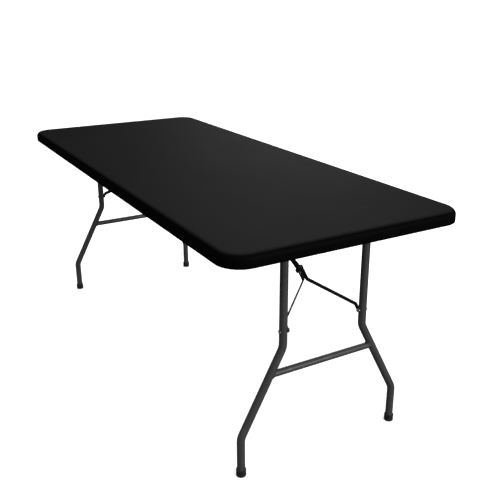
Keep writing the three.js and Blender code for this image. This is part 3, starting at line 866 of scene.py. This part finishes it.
strap_side = bolt_centre - KNUCKLE
strap_side.y = 0
STRAP_LENGTH = strap_side.length
strap_run = strap_side.normalized()
strap_wide = leg_y - leg_r - LEG_ROOM - STRAP / 2
strap_near = LINK_FLAT + LINK_ROOM + STRAP / 2
link_run = (KNUCKLE - LINK_PIN).normalized()
LINK_LENGTH = (KNUCKLE - LINK_PIN).length


def turned_to(origin, run):
    """A frame at origin with X along run and Y across the table."""
    across = Vector((0, 1, 0))
    up = run.cross(across)
    return Matrix.Translation(origin) @ Matrix((run, across, up)).transposed().to_4x4()


def strap_section(half, rib):
    """A flat bar on edge with eased corners, and a rib of a given height pressed out along its middle."""
    points = []
    for side in (1, -1):
        for k in range(-8, 9):
            u = side * k / 8 * (half - STRAP_EASE)
            bulge = rib * math.cos(min(abs(u) / STRAP_RIB_HALF, 1) * math.pi / 2) ** 2
            points.append((u, -side * STRAP / 2 + bulge))
        points.append((side * half, -side * (STRAP / 2 - STRAP_EASE)))
        points.append((side * half, side * (STRAP / 2 - STRAP_EASE)))
    return points


def strap_stations():
    """Places along a strap, with its half height and its share of the rib at each."""
    corners = [(-STRAP_TAIL, strap_near, 0), (STRAP_PARALLEL, strap_near, 0),
               (STRAP_LENGTH - STRAP_TAB, strap_wide, 0), (STRAP_LENGTH + STRAP_END, strap_wide, 0)]
    line = rounded_line(corners, STRAP_BEND)
    high = STRAP_HIGH / 2
    round_end = []
    for k in range(ROUND_STEPS + 1):
        angle = math.pi / 2 * k / ROUND_STEPS
        round_end.append((high * (1 - math.cos(angle)), max(high * math.sin(angle), 0.2 * MM)))
    fade = []
    for k in range(1, FADE_STEPS + 1):
        fade.append((RIB_FADE * k / FADE_STEPS, math.sin(math.pi / 2 * k / FADE_STEPS) ** 2))
    middle_bend = len(line) // 2
    out, back = line[middle_bend - 1], line[middle_bend]
    run = (back - out).normalized()
    stations = [(line[0] + Vector((inward, 0, 0)), half, 0) for inward, half in round_end]
    stations += [(p, high, 0) for p in line[1:middle_bend]]
    stations += [(out + run * along, high, rib) for along, rib in fade]
    stations += [(back - run * along, high, rib) for along, rib in reversed(fade)]
    stations += [(p, high, 0) for p in line[middle_bend:-1]]
    stations += [(line[-1] - Vector((inward, 0, 0)), half, 0) for inward, half in reversed(round_end)]
    return stations


def strap(side):
    """One bent strap with half-round ends, stiffened by a rib along its splayed run."""
    stations = strap_stations()
    places = [Vector((p.x, side * p.y, 0)) for p, _, _ in stations]
    up = Vector((0, 0, 1))
    loops = []
    for point, run, (_, half, rib) in zip(places, runs(places), stations):
        across = run.cross(up)
        section = strap_section(half, -side * rib * STRAP_RIB)
        loops.append([point + up * u + across * v for u, v in section])
    return moved(loft(loops), turned_to(KNUCKLE, strap_run))


def strap_nut(side):
    """Washer, nut and the stud's end, inside the strap."""
    inner = -STRAP / 2
    washer = turned([(WASHER_R, inner - 0.9 * MM), (WASHER_R, inner - 0.05 * MM)], 32)
    nut = hexagon(NUT_R, inner - 5 * MM, inner - 0.9 * MM, 0.5 * MM)
    stud = turned([(STUD_TIP_R, inner - 6.6 * MM), (PIN_R, inner - 5.8 * MM), (PIN_R, STRAP / 2)], 20)
    fitting = along_y(together([washer, nut, stud]))
    local = Matrix.Translation((STRAP_LENGTH, side * strap_wide, 0)) @ facing(side)
    return moved(fitting, turned_to(KNUCKLE, strap_run) @ local)


def link_loop(x, wall):
    """The link's section at x: round along its middle, a flat-sided oval round each pin."""
    inward = min(x, LINK_LENGTH - x)
    share = min(max((LINK_PRESS + LINK_TAPER - inward) / LINK_TAPER, 0), 1)
    press = share * share * (3 - 2 * share)
    wide = LINK_R + (LINK_FLAT - LINK_R) * press - wall
    high = LINK_R + (LINK_TALL - LINK_R) * press - wall
    loop = []
    for y, z in circle(wide, LINK_SIDES):
        straight = math.copysign(high - wide, z) if abs(z) > 1e-9 else 0
        loop.append((x, y, z + straight))
    return loop


def link():
    """A tube pressed flat-sided round the pin at each end."""
    taper = [LINK_PRESS + LINK_TAPER * k / TAPER_STEPS for k in range(TAPER_STEPS + 1)]
    low, high = -LINK_END, LINK_LENGTH + LINK_END
    places = [low + LINK_EASE, *taper, *[LINK_LENGTH - x for x in reversed(taper)], high - LINK_EASE]
    outside = [link_loop(x, 0) for x in places]
    inside = [link_loop(x, TUBE_WALL) for x in reversed(places)]
    rims = [link_loop(x, TUBE_WALL / 2) for x in (high, low)]
    return moved(loft([*outside, rims[0], *inside, rims[1]], closed=True), turned_to(LINK_PIN, link_run))


def lock_ring():
    """A flat strip bent round the link and the straps' tails, with the joint of its ends underneath."""
    wide = size("lock_ring_right").y - RING_SIDE
    high = 2 * (LINK_TALL + RING_ROOM)
    flat = BAND_HALF - BAND_EASE
    section = [(0, flat), (0, -flat), (BAND_EASE, -BAND_HALF), (BAND - BAND_EASE, -BAND_HALF),
               (BAND, -flat), (BAND, flat), (BAND - BAND_EASE, BAND_HALF), (BAND_EASE, BAND_HALF)]
    loops = []
    for grow, x in section:
        outline = round_box(wide + 2 * grow, high + 2 * grow, RING_CORNER + grow, 12)
        loops.append([(x, u, v) for u, v in outline])
    swell = flat - BAND_EASE
    seam = turned([(0.2 * MM, -flat), (SEAM_R, -swell), (SEAM_R, swell), (0.2 * MM, flat)], 16)
    under = Matrix.Translation((0, 0, -high / 2 - BAND)) @ Matrix.Diagonal((1, 1, SEAM_SQUAT, 1))
    seam = moved(seam, under @ Matrix.Rotation(math.pi / 2, 4, "Y"))
    place = Matrix.Translation((LINK_LENGTH - RING_BACK, 0, 0))
    return moved(together([loft(loops, closed=True), seam]), turned_to(LINK_PIN, link_run) @ place)


# ---------------------------------------------------------------- assembly
KNUCKLE_HEAD = 6.2 * MM
LINK_PIN_HEAD = 4.5 * MM
PIN_HOLE = 2.8 * MM
HINGE_ROOM = 0.4 * MM


def end_frame(end, outward):
    """All the pieces of one end; outward is 1 for the right end and -1 for the left."""
    turn = facing(outward)
    legs, links, forks, rings = (f"{word}_{end}" for word in ("leg_frame", "link", "fork", "ring"))
    make(f"pivot_{end}", pivot_tube(), "frame_steel", legs, [f"pivot_tube_{end}"], matrix=turn)
    make(f"bar_{end}", crossbar(), "frame_steel", legs, [f"crossbar_{end}"], matrix=turn)
    make(f"link_tube_{end}", link(), "brace_steel", links, [f"brace_link_{end}"], matrix=turn)
    make(f"ring_{end}_band", lock_ring(), "brace_steel", rings, [f"lock_ring_{end}"], matrix=turn)
    knuckle_pin = pin(size(f"knuckle_pin_{end}").y / 2, KNUCKLE_HEAD)
    knuckle_pin = moved(knuckle_pin, Matrix.Translation(KNUCKLE))
    make(f"knuckle_rivet_{end}", knuckle_pin, "zinc_steel", links, [f"knuckle_pin_{end}"], matrix=turn)
    upper_pin = pin(size(f"brace_bracket_pin_{end}").y / 2, LINK_PIN_HEAD)
    upper_pin = moved(upper_pin, Matrix.Translation(LINK_PIN))
    make(f"link_rivet_{end}", upper_pin, "zinc_steel", "top", [f"brace_bracket_pin_{end}"], matrix=turn)
    ear_pitch = 2 * (LINK_FLAT + LINK_ROOM) + PLATE
    bracket(f"brace_bracket_{end}", LINK_PIN, PIN_HOLE, ear_pitch, f"link_bracket_{end}", turn)
    for side in (-1, 1):
        tag = f"{end}_{'front' if side * outward < 0 else 'back'}"
        make(f"leg_{tag}", leg_tube(side), "frame_steel", legs, [f"leg_tube_{tag}"], matrix=turn)
        make(f"leg_weld_{tag}", leg_weld(side), "frame_steel", legs, material=WELD, matrix=turn)
        make(f"bar_weld_{tag}", bar_weld(side), "frame_steel", legs, material=WELD, matrix=turn)
        make(f"foot_{tag}", foot_cap(side), "foot_rubber", legs, [f"foot_cap_{tag}"], matrix=turn)
        make(f"bolt_{tag}", bolt_head(side), "zinc_steel", legs, [f"brace_bolt_{tag}"], matrix=turn)
        make(f"strap_{tag}", strap(side), "brace_steel", forks, [f"brace_strap_{tag}"], matrix=turn)
        make(f"nut_{tag}", strap_nut(side), "zinc_steel", forks, [f"brace_nut_{tag}"], matrix=turn)
        node = f"hinge_bracket_{tag}"
        centre = turn.inverted() @ middle(node)
        centre.z = LEG_PIVOT.z
        bracket(node, centre, pivot_r + HINGE_ROOM, size(node).y - PLATE, f"hinge_plate_{tag}", turn)
        for place in ("inner", "outer"):
            screw(f"hinge_screw_{tag}_{place}", f"plate_screw_{tag}_{place}")
        screw(f"brace_screw_{tag}", f"link_screw_{tag}")


top_moulding()
underside_moulding()
rails()
rail_caps()
end_frame("right", 1)
end_frame("left", -1)


# ---------------------------------------------------------------- studio
FLOOR_HALF = 300
DOME_LOW, DOME_HIGH = 0.3, 1.3
MIRRORED = 0.12
LAMPS = (
    ("key", (6.5, 2.4, 2.3), (0.4, 0, 0.4), 2.6, 320, 1.4),
    ("back", (-3.2, 2.6, 2.6), (0, 0, 0.6), 2.2, 60, 0.0),
)
SENSOR, LENS = 36, 49.34
STANDPOINT = (2.2028, -1.0658, 1.3063)
VIEW_TURN, VIEW_DIP, VIEW_ROLL = 60.04, 20.56, 0.14


def studio_ground():
    """A wide pale floor that neither throws light back nor blocks it."""
    half = FLOOR_HALF
    mesh = bpy.data.meshes.new("floor")
    corners = [(-half, -half, 0), (half, -half, 0), (half, half, 0), (-half, half, 0)]
    mesh.from_pydata(corners, [], [(0, 1, 2, 3)])
    mesh.materials.append(studio_floor())
    floor = bpy.data.objects.new("floor", mesh)
    bpy.context.scene.collection.objects.link(floor)
    floor.visible_glossy = False
    floor.visible_diffuse = False
    floor.visible_shadow = False


def studio_air():
    """White all round, brighter overhead; shiny surfaces mirror it only faintly."""
    world = bpy.data.worlds.new("studio_air")
    bpy.context.scene.world = world
    world.use_nodes = True
    air = Nodes(world.node_tree)
    place = air.node("ShaderNodeTexCoord", {}, out="Generated")
    height = air.node("ShaderNodeSeparateXYZ", {}, place, out="Z")
    glossy = air.node("ShaderNodeLightPath", {}, out="Is Glossy Ray")
    seen = air.node("ShaderNodeLightPath", {}, out="Is Camera Ray")
    dome = height.over(0.0, 0.9, DOME_LOW, DOME_HIGH) * (1 - (1 - MIRRORED) * glossy)
    background = world.node_tree.nodes["Background"]
    air.feed(background.inputs["Color"], (1, 1, 1, 1))
    air.feed(background.inputs["Strength"], dome.sum("MAXIMUM", dome, seen))


def lamps():
    for name, place, target, width, energy, gloss in LAMPS:
        data = bpy.data.lights.new(name, "AREA")
        data.size = width
        data.energy = energy
        data.specular_factor = gloss
        lamp = bpy.data.objects.new(name, data)
        lamp.location = place
        lamp.rotation_euler = (Vector(target) - Vector(place)).to_track_quat("-Z", "Y").to_euler()
        bpy.context.scene.collection.objects.link(lamp)


def camera():
    data = bpy.data.cameras.new("camera")
    data.sensor_width = SENSOR
    data.lens = LENS
    data.clip_end = 1000
    turn = Matrix.Rotation(math.radians(VIEW_TURN), 4, "Z")
    tilt = Matrix.Rotation(math.radians(90 - VIEW_DIP), 4, "X")
    roll = Matrix.Rotation(math.radians(-VIEW_ROLL), 4, "Z")
    viewer = bpy.data.objects.new("camera", data)
    viewer.matrix_world = Matrix.Translation(STANDPOINT) @ turn @ tilt @ roll
    bpy.context.scene.collection.objects.link(viewer)
    bpy.context.scene.camera = viewer
    bpy.context.scene.view_settings.view_transform = "Standard"


studio_ground()
studio_air()
lamps()
camera()
